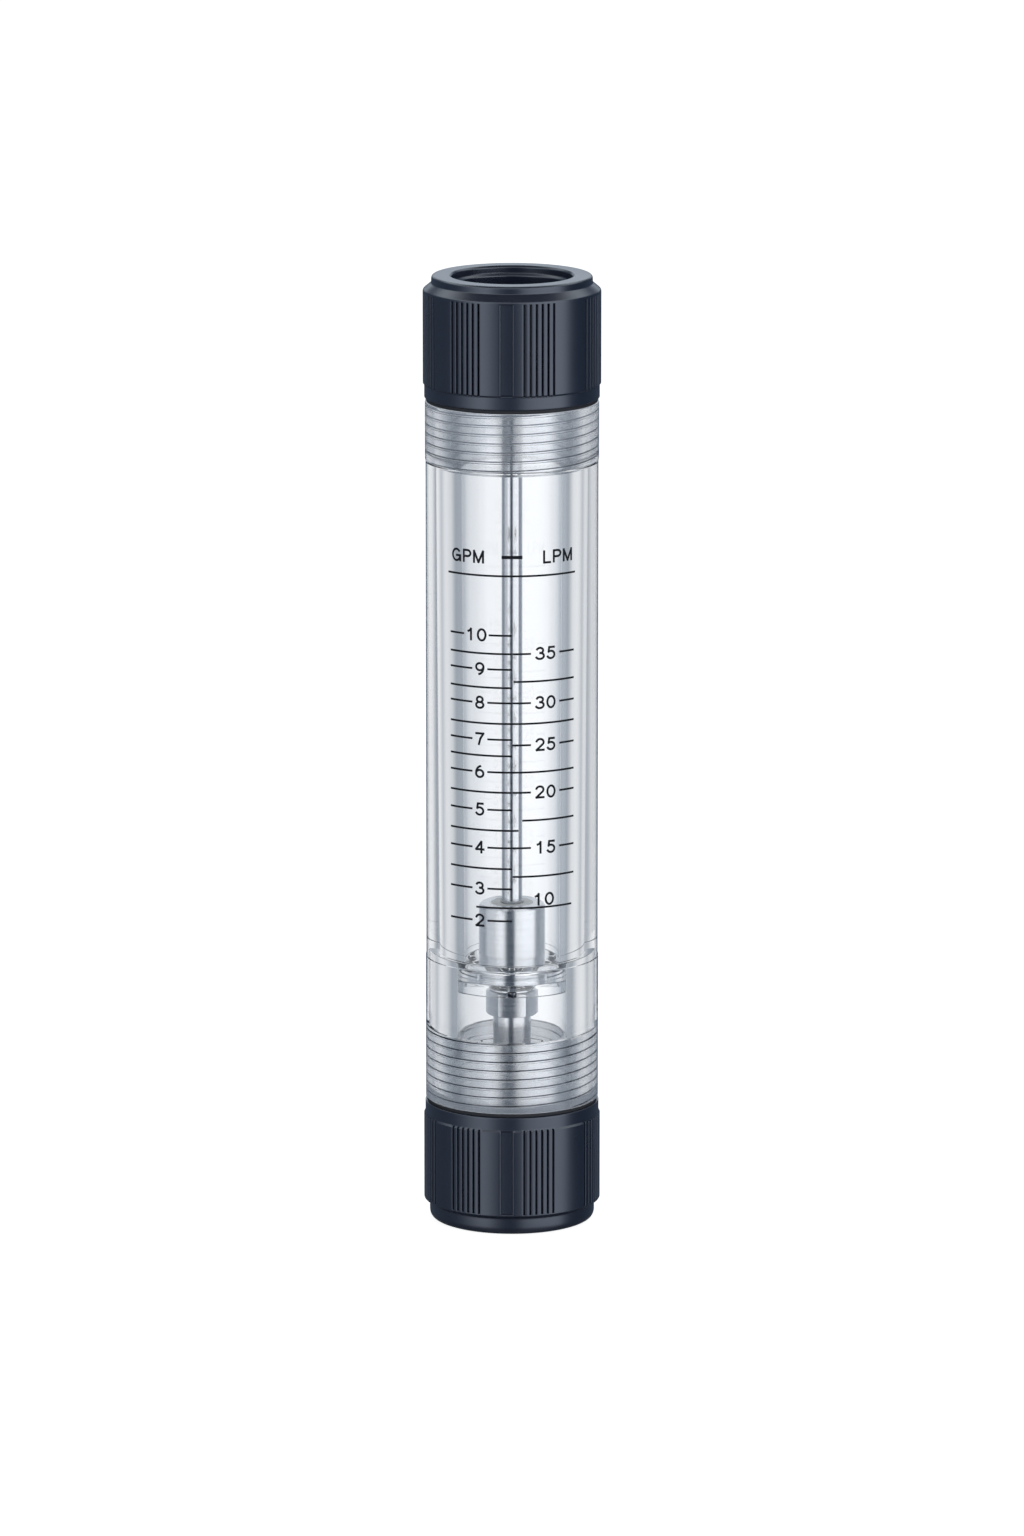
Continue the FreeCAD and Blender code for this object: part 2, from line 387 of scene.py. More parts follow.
def surface(recipe, **inputs):
    """A Principled surface wired to the output."""
    named = {key.replace("_", " "): value for key, value in inputs.items()}
    shader = recipe.add("ShaderNodeBsdfPrincipled", inputs=named)
    recipe.add("ShaderNodeOutputMaterial", inputs={"Surface": shader})


def shade_between(recipe, amount, dark, light):
    """A colour that runs from dark to light as amount goes from 0 to 1."""
    return recipe.add("ShaderNodeValToRGB", {"stops": [(0, dark), (1, light)]}, (amount,))


# ---------------------------------------------------------------- materials

def clear_acrylic(name, tint, roughness):
    """Machined and flame-polished acrylic, with faint waves left by the lathe."""
    material, recipe = new_material(name)
    waves = noise(recipe, object_place(recipe, (1, 1, 6)), 90.0, 2.0)
    haze = noise(recipe, object_place(recipe), 140.0)
    surface(recipe, Base_Color=shade_between(recipe, haze, tint, (0.99, 0.995, 1.0)),
            Roughness=haze * roughness,
            IOR=1.49, Transmission_Weight=1.0, Normal=bump(recipe, waves, 0.004 * MM))
    return material


def cut_thread():
    """Acrylic where a tap has cut it, with fine tool marks and some haze. Its silvery look from inside is a
    painted reflection: a layer of silver metal mixed into the clear acrylic.
    """
    material, recipe = new_material("cut_thread_acrylic_painted_sheen")
    marks = noise(recipe, object_place(recipe, (0.03, 0.03, 1)), 2600.0, 4.0)
    streaks = noise(recipe, object_place(recipe, (1, 1, 0.04)), 420.0, 3.0)
    relief = bump(recipe, marks, 0.008 * MM, 0.6)
    clear = recipe.add("ShaderNodeBsdfPrincipled", inputs={
        "Base Color": (0.94, 0.96, 0.98, 1), "Roughness": 0.12, "IOR": 1.49,
        "Transmission Weight": 1.0, "Normal": relief})
    # painted reflection: silver metal stands in for the sheen that the cut faces reflect back inside the
    # acrylic
    painted_sheen = recipe.add("ShaderNodeBsdfPrincipled", inputs={
        "Base Color": shade_between(recipe, streaks, (0.56, 0.59, 0.64), (0.84, 0.86, 0.89)),
        "Metallic": 1.0, "Roughness": 0.16 + 0.14 * marks, "Normal": relief})
    shown = recipe.add("ShaderNodeMixShader", inputs={0: 0.52 + 0.16 * streaks, 1: clear, 2: painted_sheen})
    recipe.add("ShaderNodeOutputMaterial", inputs={"Surface": shown})
    return material


def ground_acrylic():
    """Acrylic left matt and pale from grinding, where the fittings cover it.

    Its faint glow is painted light: an emission that stands in for the light that the tube carries down to
    it.
    """
    material, recipe = new_material("ground_acrylic")
    grain = noise(recipe, object_place(recipe), 1800.0)
    surface(recipe, Base_Color=shade_between(recipe, grain, (0.40, 0.43, 0.47), (0.54, 0.57, 0.61)),
            Roughness=0.5 + 0.2 * grain, Normal=bump(recipe, grain, 0.01 * MM, 0.5),
            # painted light: this emission stands in for the light that the tube carries down into the
            # covered ends
            Emission_Color=(0.78, 0.83, 0.90, 1), Emission_Strength=0.24)
    return material


def moulded_plastic():
    """Dark blue-grey moulded plastic with a fine satin grain."""
    material, recipe = new_material("moulded_plastic")
    grain = noise(recipe, object_place(recipe), 2600.0, 2.0)
    cloud = noise(recipe, object_place(recipe), 60.0)
    colour = shade_between(recipe, cloud, (0.0032, 0.0063, 0.0155), (0.0044, 0.0082, 0.0195))
    surface(recipe, Base_Color=colour, Roughness=0.25 + 0.07 * cloud, Specular_IOR_Level=0.95,
            Normal=bump(recipe, grain, 0.01 * MM, 0.3))
    return material


def black_rubber():
    material, recipe = new_material("black_rubber")
    grain = noise(recipe, object_place(recipe), 1500.0)
    surface(recipe, Base_Color=shade_between(recipe, grain, (0.004, 0.004, 0.005), (0.012, 0.012, 0.014)),
            Roughness=0.55 + 0.2 * grain, Normal=bump(recipe, grain, 0.02 * MM, 0.6))
    return material


def turned_steel(name, rings, roughness, dark=(0.56, 0.58, 0.61), light=(0.78, 0.80, 0.83)):
    """Stainless steel with the fine rings of a lathe tool."""
    material, recipe = new_material(name)
    lines = noise(recipe, object_place(recipe, (0.02, 0.02, 1)), rings, 4.0)
    cloud = noise(recipe, object_place(recipe), 120.0)
    surface(recipe, Base_Color=shade_between(recipe, lines * 0.7 + cloud * 0.3, dark, light),
            Metallic=1.0, Roughness=roughness + 0.12 * lines,
            Normal=bump(recipe, lines, 0.006 * MM, 0.5))
    return material


def bearing_plastic():
    material, recipe = new_material("bearing_plastic")
    cloud = noise(recipe, object_place(recipe), 300.0)
    surface(recipe, Base_Color=shade_between(recipe, cloud, (0.74, 0.74, 0.72), (0.84, 0.84, 0.82)),
            Roughness=0.4 + 0.1 * cloud, Subsurface_Weight=0.1)
    return material


def scale_ink():
    """Black screen ink, a little uneven in gloss."""
    material, recipe = new_material("scale_ink")
    patches = noise(recipe, object_place(recipe), 900.0)
    surface(recipe, Base_Color=shade_between(recipe, patches, (0.002, 0.002, 0.003), (0.008, 0.009, 0.012)),
            Roughness=0.45 + 0.2 * patches, Specular_IOR_Level=0.2)
    return material


FINISH = {
    "tube": clear_acrylic("clear_tube_acrylic", (0.955, 0.965, 0.98), 0.02),
    "cut": cut_thread(),
    "ground": ground_acrylic(),
    "clear": clear_acrylic("clear_fitting_acrylic", (0.95, 0.96, 0.975), 0.05),
    "plastic": moulded_plastic(),
    "rubber": black_rubber(),
    "rod": turned_steel("drawn_rod_steel", 900.0, 0.08, (0.60, 0.62, 0.66), (0.78, 0.80, 0.83)),
    "steel": turned_steel("turned_steel", 2600.0, 0.16),
    "float": turned_steel("float_steel", 1800.0, 0.14),
    "white": bearing_plastic(),
    "ink": scale_ink(),
}


def dress(obj, finish):
    obj.data.materials.clear()
    obj.data.materials.append(FINISH[finish])


def second_finish(obj, finish, chosen):
    """Gives a second material to the chosen faces."""
    obj.data.materials.append(FINISH[finish])
    edit_faces(obj, chosen)
    obj.active_material_index = len(obj.data.materials) - 1
    bpy.ops.object.material_slot_assign()
    leave_edit()


def place(obj, finish, body, slot, *nodes):
    """Gives a finished piece its material and body, and hides the nodes that it stands for. slot is not
    used.
    """
    dress(obj, finish)
    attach(obj, body)
    if nodes:
        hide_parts(*nodes)


# ---------------------------------------------------------------- clear tube

def clear_tube():
    """Tube with rounded edges, tapered bore, chamber and a real inside thread at both ends."""
    step = END_BAND_RADIUS - SCALE_RADIUS
    pilot = HOLDER_CREST - 0.6 * MM
    run_out = UPPER_BAND_BOTTOM - UPPER_RUN_OUT
    tube = turned("clear_tube", [
        (pilot, TUBE_BOTTOM),
        (SPIGOT_RADIUS, TUBE_BOTTOM),
        (SPIGOT_RADIUS, SHOULDER_LOW),
        (END_BAND_RADIUS, SHOULDER_LOW),
        (END_BAND_RADIUS, CHAMBER_TOP - step),
        (SCALE_RADIUS, CHAMBER_TOP),
        (SCALE_RADIUS, UPPER_BAND_BOTTOM),
        (SCALE_RADIUS - 0.25 * MM, UPPER_BAND_BOTTOM + 0.2 * MM),
        (END_BAND_RADIUS, UPPER_BAND_BOTTOM + 0.2 * MM + 2 * step),
        (END_BAND_RADIUS, SHOULDER_HIGH),
        (SPIGOT_RADIUS, SHOULDER_HIGH),
        (SPIGOT_RADIUS, TUBE_TOP),
        (pilot, TUBE_TOP),
        (pilot, run_out + MM),
        (BORE_HIGH, run_out),
        (BORE_LOW, CHAMBER_TOP),
        (CHAMBER_RADIUS, CHAMBER_TOP),
        (CHAMBER_RADIUS, THREAD_TOP_LOW),
        (pilot, THREAD_TOP_LOW - MM),
    ])
    for low, high in ((TUBE_BOTTOM - MM, THREAD_TOP_LOW), (run_out, TUBE_TOP + MM)):
        cut_by(tube, thread_core(HOLDER_CREST, HOLDER_ROOT, HOLDER_LAND, low, high))
    smooth(tube, 30)
    place(tube, "tube", "meter", "clear_acrylic", "meter_body")
    # the threads get the cut finish, whose silvery sheen is a painted reflection
    second_finish(tube, "cut", threaded)
    # the covered ends get the ground finish, whose faint glow is painted light
    second_finish(tube, "ground", covered)


def threaded(face):
    """The inside threads, which are cut but not polished."""
    radius = math.hypot(face.center.x, face.center.y)
    at_end = not THREAD_TOP_LOW < face.center.z < UPPER_BAND_BOTTOM - UPPER_RUN_OUT
    return at_end and HOLDER_CREST - 0.2 * MM < radius < HOLDER_ROOT + 0.1 * MM


def covered(face):
    """The outside of the ends, up to their shoulders, where the fittings go over it."""
    outside = math.hypot(face.center.x, face.center.y) > HOLDER_ROOT + 0.1 * MM
    at_end = face.center.z < SHOULDER_LOW + 0.05 * MM or face.center.z > SHOULDER_HIGH - 0.05 * MM
    return outside and at_end


# ---------------------------------------------------------------- end fittings

def fitting_blank(ring, shoulder):
    """Turned form of an end fitting, port down: ring and shoulder are the corners of its end.

    It has a face for each degree of its turn.
    """
    floor = corner("bottom_face_gasket", 0, 2)
    ring_radius, ring_height, ring_rounding = ring
    return turned("end_fitting", [
        (PORT_CREST + 0.6 * MM, 0),
        (ring_radius, 0, ring_rounding),
        (ring_radius, ring_height),
        shoulder,
        (RIB_RADIUS, BAND_END, 0),
        (COLLAR_RADIUS, COLLAR_START, 0),
        (COLLAR_RADIUS, COLLAR_START + COLLAR_HOLD, 0),
        (COLLAR_RADIUS, RIM_INSET),
        (SPIGOT_RADIUS + FIT, RIM_INSET),
        (SPIGOT_RADIUS + FIT, floor),
        (INNER_STOP_RADIUS, floor),
        (INNER_STOP_RADIUS, PORT_DEPTH),
        (PORT_CREST - 0.5 * MM, PORT_DEPTH),
        (PORT_CREST - 0.5 * MM, PORT_LIP + 0.7 * MM),
        (PORT_CREST + 0.1 * MM, PORT_LIP),
        (PORT_CREST + 0.1 * MM, 0.5 * MM),
    ], steps=360)


def sunk(obj, chosen, edge, depth, floor=0.0):
    """Sinks the chosen faces, with a rounded edge of one width and a narrowed floor of another."""
    edit_faces(obj, chosen)
    for across, down in ((0.5, 0.13), (0.37, 0.37), (0.13, 0.5)):
        bpy.ops.mesh.inset(thickness=across * edge, depth=-down * edge)
    bpy.ops.mesh.extrude_region_shrink_fatten(TRANSFORM_OT_shrink_fatten={"value": edge + floor - depth})
    if floor:
        bpy.ops.mesh.inset(thickness=floor, depth=-floor)
    leave_edit()


def grip(fitting, low):
    """Upright grooves in groups and one shallow front panel, from low down to the collar."""
    def on_band(face):
        outside = math.hypot(face.center.x, face.center.y) > COLLAR_RADIUS + 0.05 * MM
        return outside and low < face.center.z < COLLAR_START

    def round_deg(face):
        return math.degrees(math.atan2(face.center.x, -face.center.y))

    def in_groove(face):
        turns = [(round_deg(face) - middle + 180) % 360 - 180 for middle in GROUP_MIDDLES_DEG]
        return on_band(face) and any(abs(turn - offset) < 1
                                     for turn in turns for offset in GROOVES_FROM_MIDDLE_DEG)

    def in_panel(face):
        return on_band(face) and PANEL_DEG[0] < round_deg(face) < PANEL_DEG[1]

    sunk(fitting, in_groove, RIB_EDGE, GROOVE_DEPTH, GROOVE_FLOOR_EDGE)
    sunk(fitting, in_panel, PANEL_EDGE, PANEL_DEPTH)
    edit(fitting)
    for height in (low + BAND_HOLD, BAND_END - BAND_HOLD):
        bpy.ops.mesh.select_all(action="SELECT")
        bpy.ops.mesh.bisect(plane_co=(0, 0, height), plane_no=(0, 0, 1))
    leave_edit()


def end_fitting(name, ring, shoulder, over):
    """One end fitting, turned, grooved and tapped right-handed."""
    fitting = fitting_blank(ring, shoulder)
    grip(fitting, shoulder[1] + shoulder[2])
    if over:
        turned_over(fitting)
    low, high = (HEIGHT - PORT_THREAD, HEIGHT - PORT_LIP) if over else (PORT_LIP, PORT_THREAD)
    cut_by(fitting, thread_core(PORT_CREST, PORT_ROOT, PORT_LAND, low, high, 0.1 * MM))
    fitting.name = name
    smooth(fitting, 32)
    return fitting


def end_fittings():
    bottom = end_fitting("bottom_end_fitting", (21.05 * MM, 4.4 * MM, 2.2 * MM),
                         (RIB_RADIUS, 5.3 * MM, 0.2 * MM), False)
    top = end_fitting("top_end_fitting", (20.35 * MM, 1.9 * MM, 1.2 * MM),
                      (RIB_RADIUS, 3.7 * MM, 0.4 * MM), True)
    place(bottom, "plastic", "bottom_end", "connector_plastic", "bottom_connector")
    place(top, "plastic", "top_end", "connector_plastic", "top_connector")


def seam_rings():
    for end, body in (("bottom", "bottom_seals"), ("top", "top_seals")):
        node = end + "_rim_seal"
        low, high = corner(node, 0, 2), corner(node, 1, 2)
        inner, outer = SPIGOT_RADIUS + 0.3 * MM, half_width(node)
        seal = turned(end + "_seam_ring", [(inner, low), (outer, low), (outer, high), (inner, high)])
        smooth(seal)
        place(seal, "rubber", body, "black_rubber", node)


# ---------------------------------------------------------------- float and rod

def guide_rod():
    low, high = corner("guide_rod", 0, 2), corner("guide_rod", 1, 2)
    radius = half_width("guide_rod")
    rod = turned("polished_guide_rod", [(0, low), (radius, low), (radius, high), (0, high)], 0.5 * MM, 96)
    smooth(rod)
    place(rod, "rod", "meter", "rod_steel", "guide_rod")


def steel_float():
    """Turned float: a plain body with softened edges and a bush pocket at each end."""
    low, high = corner("float_body", 0, 2), corner("float_body", 1, 2)
    radius = half_width("float_body")
    pocket = half_width("lower_float_bush")
    float_piece = turned("turned_float", [
        (pocket, low), (radius - FLOAT_EDGE, low), (radius, low + FLOAT_EDGE),
        (radius, high - FLOAT_EDGE), (radius - FLOAT_EDGE, high), (pocket, high),
        (pocket, high - BUSH_FLANGE), (BUSH_RADIUS, high - BUSH_FLANGE), (BUSH_RADIUS, high - BUSH_LENGTH),
        (FLOAT_BORE_RADIUS, high - BUSH_LENGTH), (FLOAT_BORE_RADIUS, low + BUSH_LENGTH),
        (BUSH_RADIUS, low + BUSH_LENGTH), (BUSH_RADIUS, low + BUSH_FLANGE), (pocket, low + BUSH_FLANGE),
    ], 0.1 * MM)
    smooth(float_piece)
    place(float_piece, "float", "float", "float_steel", "float_body")


def rod_ring(name, node, finish, slot):
    """A flat ring or sleeve on the rod that fills a node's box."""
    low, high = corner(node, 0, 2), corner(node, 1, 2)
    inner, outer = ROD_HOLE_RADIUS, half_width(node)
    piece = turned(name, [(inner, low), (outer, low), (outer, high), (inner, high)], 0.15 * MM, 128)
    smooth(piece)
    place(piece, finish, "meter", slot, node)


def hex_nut(name, node, across):
    """Hexagon nut with faintly crowned flats, turned corners and a bore."""
    low, high = corner(node, 0, 2), corner(node, 1, 2)
    radius = across / 2 / math.cos(math.pi / 6)
    crown = 0.05 * across / 2
    deselect_all()
    bpy.ops.mesh.primitive_cylinder_add(vertices=72, radius=radius, depth=high - low,
                                        location=(0, 0, (low + high) / 2))
    nut = bpy.context.object
    nut.name = name
    apply_place(nut)
    for vertex in nut.data.vertices:
        round_angle = math.atan2(vertex.co.y, vertex.co.x)
        off_flat = round_angle % (math.pi / 3) - math.pi / 6
        edge = math.tan(abs(off_flat)) / math.tan(math.pi / 6)
        reach = (across / 2 - crown * edge ** 2) / math.cos(off_flat)
        vertex.co.x, vertex.co.y = reach * math.cos(round_angle), reach * math.sin(round_angle)
    turned_limit = turned("nut_limit", [
        (ROD_HOLE_RADIUS, low), (across / 2, low),
        (radius, low + 0.5 * MM), (radius * 1.01, low + 0.55 * MM),
        (radius * 1.01, high - 0.55 * MM), (radius, high - 0.5 * MM),
        (across / 2, high), (ROD_HOLE_RADIUS, high),
    ], 0.01 * MM)
    cut_by(nut, turned_limit, "INTERSECT")
    smooth(nut, 25)
    place(nut, "steel", "meter", "turned_steel", node)


def spoked(name, node, rim_width, hub_radius, web, spokes, spoke_width):
    """A rim and a hub joined by arms. web is the low and high of the arms and of the hub."""
    low, high = corner(node, 0, 2), corner(node, 1, 2)
    outer = half_width(node) - CLEARANCE
    rim = turned(name, [(outer - rim_width, low), (outer, low), (outer, high), (outer - rim_width, high)])
    hub = turned("hub", [(ROD_HOLE_RADIUS, web[0]), (hub_radius, web[0]),
                         (hub_radius, web[1]), (ROD_HOLE_RADIUS, web[1])])
    cut_by(rim, hub, "UNION")
    reach = outer - hub_radius - rim_width / 2
    middle = hub_radius - rim_width / 4 + reach / 2
    for index in range(spokes):
        angle = math.radians(90 + 360 * index / spokes)
        centre = (middle * math.cos(angle), middle * math.sin(angle), (web[0] + web[1]) / 2)
        deselect_all()
        bpy.ops.mesh.primitive_cube_add(size=1, location=centre, rotation=(0, 0, angle))
        arm = bpy.context.object
        arm.scale = (reach, spoke_width, web[1] - web[0] - 0.02 * MM)
        apply_place(arm)
        apply_modifier(arm, "BEVEL", width=0.2 * MM, segments=2, limit_method="ANGLE")
        cut_by(rim, arm, "UNION")
    smooth(rim)
    return rim


def seat_parts():
    low = corner("seat_plate", 0, 2)
    plate = spoked("spoked_seat_plate", "seat_plate", 1.4 * MM, 5.5 * MM, (low, low + 1.4 * MM),
                   4, 2.0 * MM)
    place(plate, "clear", "meter", "clear_fittings", "seat_plate")
    hex_nut("chamfered_seat_nut", "seat_nut", 12.2 * MM)
    rod_ring("polished_sleeve", "spacer_sleeve", "steel", "turned_steel")
    rod_ring("thin_seat_washer", "seat_washer", "steel", "turned_steel")


def orifice_ring():
    low, high = corner("orifice_ring", 0, 2), corner("orifice_ring", 1, 2) - CLEARANCE
    outer = half_width("orifice_ring") - CLEARANCE
    throat = half_width("float_body") + 0.5 * MM
    ring = turned("flared_orifice", [(throat, low), (outer, low), (outer, high), (BORE_LOW, high),
                                     (throat, low + 1.8 * MM)], 0.15 * MM)
    smooth(ring)
    place(ring, "clear", "meter", "clear_fittings", "orifice_ring")


def rod_holders():
    for node, name in (("lower_rod_holder", "clear_lower_holder"),
                       ("upper_rod_holder", "clear_upper_holder")):
        low = corner(node, 0, 2)
        holder = spoked(name, node, 1.9 * MM, 5.0 * MM, (low, low + 2.0 * MM), 3, 2.4 * MM)
        place(holder, "clear", "meter", "clear_fittings", node)


def small_parts():
    """Nuts, washers, bumpers and bushes."""
    for end in ("lower", "upper"):
        hex_nut(end + "_rod_nut", end + "_end_nut", 8.0 * MM)
    for end in ("lower", "upper"):
        rod_ring(end + "_rod_washer", end + "_end_washer", "steel", "turned_steel")
    for end in ("lower", "upper"):
        rod_ring(end + "_soft_stop", end + "_bumper", "white", "bearing_plastic")
    for end in ("lower", "upper"):
        node = end + "_float_bush"
        face, inward = (corner(node, 0, 2), 1) if end == "lower" else (corner(node, 1, 2), -1)
        outer = half_width(node)
        flange = face + inward * BUSH_FLANGE
        tip = face + inward * BUSH_LENGTH
        bush = turned(end + "_flanged_bush", [
            (BUSH_BORE_RADIUS, face), (outer, face), (outer, flange), (BUSH_RADIUS, flange),
            (BUSH_RADIUS, tip), (BUSH_BORE_RADIUS, tip),
        ], 0.1 * MM, 96)
        smooth(bush)
        place(bush, "white", "float", "bearing_plastic", node)


# ---------------------------------------------------------------- printed scale

INK = 0.1 * MM                  # how far the ink stands up
LINE = 0.50 * MM
PEN = 0.58 * MM
DIGIT_HEIGHT = 2.85 * MM
LETTER_GAP = 0.35
SCALE_LEFT = -44.8
SCALE_RIGHT = 45.2


def bow(x, z, half_wide, half_high, start_deg, end_deg):
    """Points of a rounded stroke, from one angle to another; 0 points right and 90 up."""
    steps = max(4, round(abs(end_deg - start_deg) / 18))
    out = []
    for index in range(steps + 1):
        angle = math.radians(start_deg + (end_deg - start_deg) * index / steps)
        out.append((x + half_wide * math.cos(angle), z + half_high * math.sin(angle)))
    return out


# Strokes of each figure and letter, on a height of 1, and its width.
NINE = [bow(0.36, 0.68, 0.345, 0.32, 0, 360), bow(0.19, 0.62, 0.515, 0.62, 8, -78)]
STROKES = {
    "0": ([bow(0.36, 0.5, 0.36, 0.5, 0, 360)], 0.72),
    "1": ([[(0.12, 0.76), (0.28, 0.82), (0.40, 0.99), (0.40, 0)]], 0.72),
    "2": ([bow(0.345, 0.71, 0.335, 0.29, 165, -32) + [(0.02, 0.01), (0.71, 0.01)]], 0.71),
    "3": ([bow(0.32, 0.755, 0.30, 0.245, 155, -80), bow(0.32, 0.27, 0.37, 0.27, 88, -155)], 0.69),
    "4": ([[(0.52, 0), (0.52, 1.0), (0.01, 0.30), (0.74, 0.30)]], 0.74),
    "5": ([[(0.64, 1.0), (0.155, 1.0)] + bow(0.32, 0.33, 0.355, 0.33, 128, -152)], 0.69),
    "6": ([[(0.71 - x, 1 - z) for x, z in stroke] for stroke in NINE], 0.71),
    "7": ([[(0, 0.99), (0.69, 0.99), (0.40, 0.52), (0.26, 0)]], 0.69),
    "8": ([bow(0.345, 0.755, 0.275, 0.245, 0, 360), bow(0.345, 0.265, 0.345, 0.265, 0, 360)], 0.69),
    "9": (NINE, 0.71),
    "G": ([bow(0.42, 0.5, 0.41, 0.5, 42, 330) + [(0.82, 0.46), (0.45, 0.46)],
           [(0.83, 0.46), (0.83, 0)]], 0.86),
    "P": ([[(0, 0), (0, 1), (0.37, 1)] + bow(0.37, 0.735, 0.30, 0.265, 88, -88) + [(0, 0.47)]], 0.67),
    "M": ([[(0, 0), (0, 1), (0.42, 0.02), (0.84, 1), (0.84, 0)]], 0.84),
    "L": ([[(0, 1), (0, 0), (0.58, 0)]], 0.58),
}
PATTERNS = {}


def wrap_round_tube(obj):
    """Bends a flat print in the XZ plane round the tube: X becomes the way round."""
    for vertex in obj.data.vertices:
        angle = vertex.co.x / SCALE_RADIUS
        radius = SCALE_RADIUS - vertex.co.y
        vertex.co.x = radius * math.sin(angle)
        vertex.co.y = -radius * math.cos(angle)


def arc(angle_deg):
    return math.radians(angle_deg) * SCALE_RADIUS


def printed_line(start_deg, end_deg, height, thickness=LINE):
    """A fine raised line round part of the tube, drawn flat and then bent."""
    deselect_all()
    bpy.ops.mesh.primitive_cube_add(size=1, location=(arc((start_deg + end_deg) / 2), -0.4 * INK, height))
    line = bpy.context.object
    line.scale = (arc(end_deg - start_deg), INK, thickness)
    apply_place(line)
    apply_modifier(line, "BEVEL", width=0.3 * INK, segments=2, limit_method="NONE")
    edit(line)
    cuts = max(1, round(abs(end_deg - start_deg) / 3))
    for index in range(1, cuts):
        x = arc(start_deg + (end_deg - start_deg) * index / cuts)
        bpy.ops.mesh.select_all(action="SELECT")
        bpy.ops.mesh.bisect(plane_co=(x, 0, 0), plane_no=(1, 0, 0))
    leave_edit()
    wrap_round_tube(line)
    return line


def parted_at_corners(points):
    """Parts a stroke at its sharp corners, so that the pen keeps its width along each part."""
    parts = [[points[0]]]
    for before, here, after in zip(points, points[1:], points[2:]):
        parts[-1].append(here)
        turn = (Vector(here) - Vector(before)).angle(Vector(after) - Vector(here))
        if turn > math.radians(40):
            parts.append([here])
    parts[-1].append(points[-1])
    return parts


def pen_stroke(points):
    """One stroke of a round pen, pressed flat, a little past its ends."""
    first, second, last, before = (Vector(points[i]) for i in (0, 1, -1, -2))
    past = 0.35 * PEN
    points = [tuple(first + (first - second).normalized() * past)] + points[1:-1]
    points.append(tuple(last + (last - before).normalized() * past))
    line = drawn_line("stroke", points)
    work_on(line)
    bpy.ops.object.convert(target="CURVE")
    line.data.bevel_depth = PEN / 2
    line.data.bevel_resolution = 2
    line.data.use_fill_caps = True
    bpy.ops.object.convert(target="MESH")
    stroke = bpy.context.object
    edit(stroke)
    bpy.ops.transform.resize(value=(1, INK / PEN, 1), center_override=(0, 0, 0))
    leave_edit()
    return stroke


def glyph(letter, size):
    """A figure or letter drawn once at a size; each use of it is a copy."""
    key = (letter, size)
    if key not in PATTERNS:
        strokes = STROKES[letter][0]
        scaled = [[(x * size, z * size) for x, z in stroke] for stroke in strokes]
        parts = [pen_stroke(part) for stroke in scaled for part in parted_at_corners(stroke)]
        PATTERNS[key] = joined("pattern", parts)
    twin = PATTERNS[key].copy()
    twin.data = PATTERNS[key].data.copy()
    bpy.context.collection.objects.link(twin)
    return twin


def printed_text(words, middle_deg, height, size=DIGIT_HEIGHT):
    """Raised lettering centred at one angle and height. size is the height of a capital."""
    widths = [STROKES[letter][1] * size for letter in words]
    gap = LETTER_GAP * size
    x = arc(middle_deg) - (sum(widths) + gap * (len(words) - 1)) / 2
    letters = []
    for letter, width in zip(words, widths):
        piece = glyph(letter, size)
        piece.location = (x, -0.4 * INK, height - size / 2)
        apply_place(piece)
        letters.append(piece)
        x += width + gap
    text = joined("lettering", letters)
    wrap_round_tube(text)
    return text


def labelled_line(start_deg, end_deg, height, words, label_deg, clear_deg):
    """A line broken round its number."""
    return [printed_text(words, label_deg, height),
            printed_line(start_deg, label_deg - clear_deg, height),
            printed_line(label_deg + clear_deg, end_deg, height)]


def printed_scale():
    """Two scales back to back: gallons a minute on the left, litres a minute on the right."""
    gallons = {10: 155.7, 9: 147.0, 8: 138.4, 7: 129.0, 6: 120.6, 5: 110.9, 4: 101.1, 3: 90.5, 2: 82.2}
    litres = {35: 151.0, 30: 138.4, 25: 127.6, 20: 115.4, 15: 101.1}
    halves_left = {151.0: 0, 142.3: 0, 133.1: 0, 124.8: 0, 115.4: 0, 105.6: 4.3, 95.7: 0}
    halves_right = {143.9: 1.0, 133.1: 0, 120.6: 0, 108.2: 6.8, 93.7: 0.5}
    pieces = []
    for value, height in gallons.items():
        middle, clear = (-24.4, 8.9) if value > 9 else (-21.8, 5.3)
        pieces += labelled_line(SCALE_LEFT, 0, height * MM, str(value), middle, clear)
    for value, height in litres.items():
        pieces += labelled_line(0.3, SCALE_RIGHT, height * MM, str(value), 22.8, 10.2)
    pieces.append(printed_text("10", 21.6, 87.7 * MM))
    pieces.append(printed_line(-24.4, 43.3, 85.6 * MM))
    for height, end in halves_left.items():
        pieces.append(printed_line(SCALE_LEFT, end, height * MM))
    for height, start in halves_right.items():
        pieces.append(printed_line(start, SCALE_RIGHT, height * MM))
    pieces.append(printed_line(-46.8, 46.2, 170.9 * MM))
    pieces.append(printed_line(-6.9, 6.9, 175.7 * MM, 0.85 * MM))
    pieces.append(printed_text("GPM", -31.1, 175.6 * MM, 2.9 * MM))
    pieces.append(printed_text("LPM", 32.2, 175.6 * MM, 2.9 * MM))
    for pattern in PATTERNS.values():
        bpy.data.objects.remove(pattern)
    scale = joined("printed_scale", pieces)
    smooth(scale, 40)
    dress(scale, "ink")
    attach(scale, "meter")


# ---------------------------------------------------------------- studio

CAMERA_PITCH_DEG = 11.8
CAMERA_DISTANCE = 2.365
LENS_MM = 218.0


def studio_ramp(recipe, turn, stops):
    """Studio round the meter: stops are (degrees from the front, grey). A darker grey is bluer."""
    placed = []
    for angle, grey in stops:
        shade = min(grey, 1.0)
        placed.append(((angle + 180) / 360, (grey * shade ** 0.095, grey, grey * shade ** -0.105)))
    return recipe.add("ShaderNodeValToRGB", {"stops": placed}, (turn,))


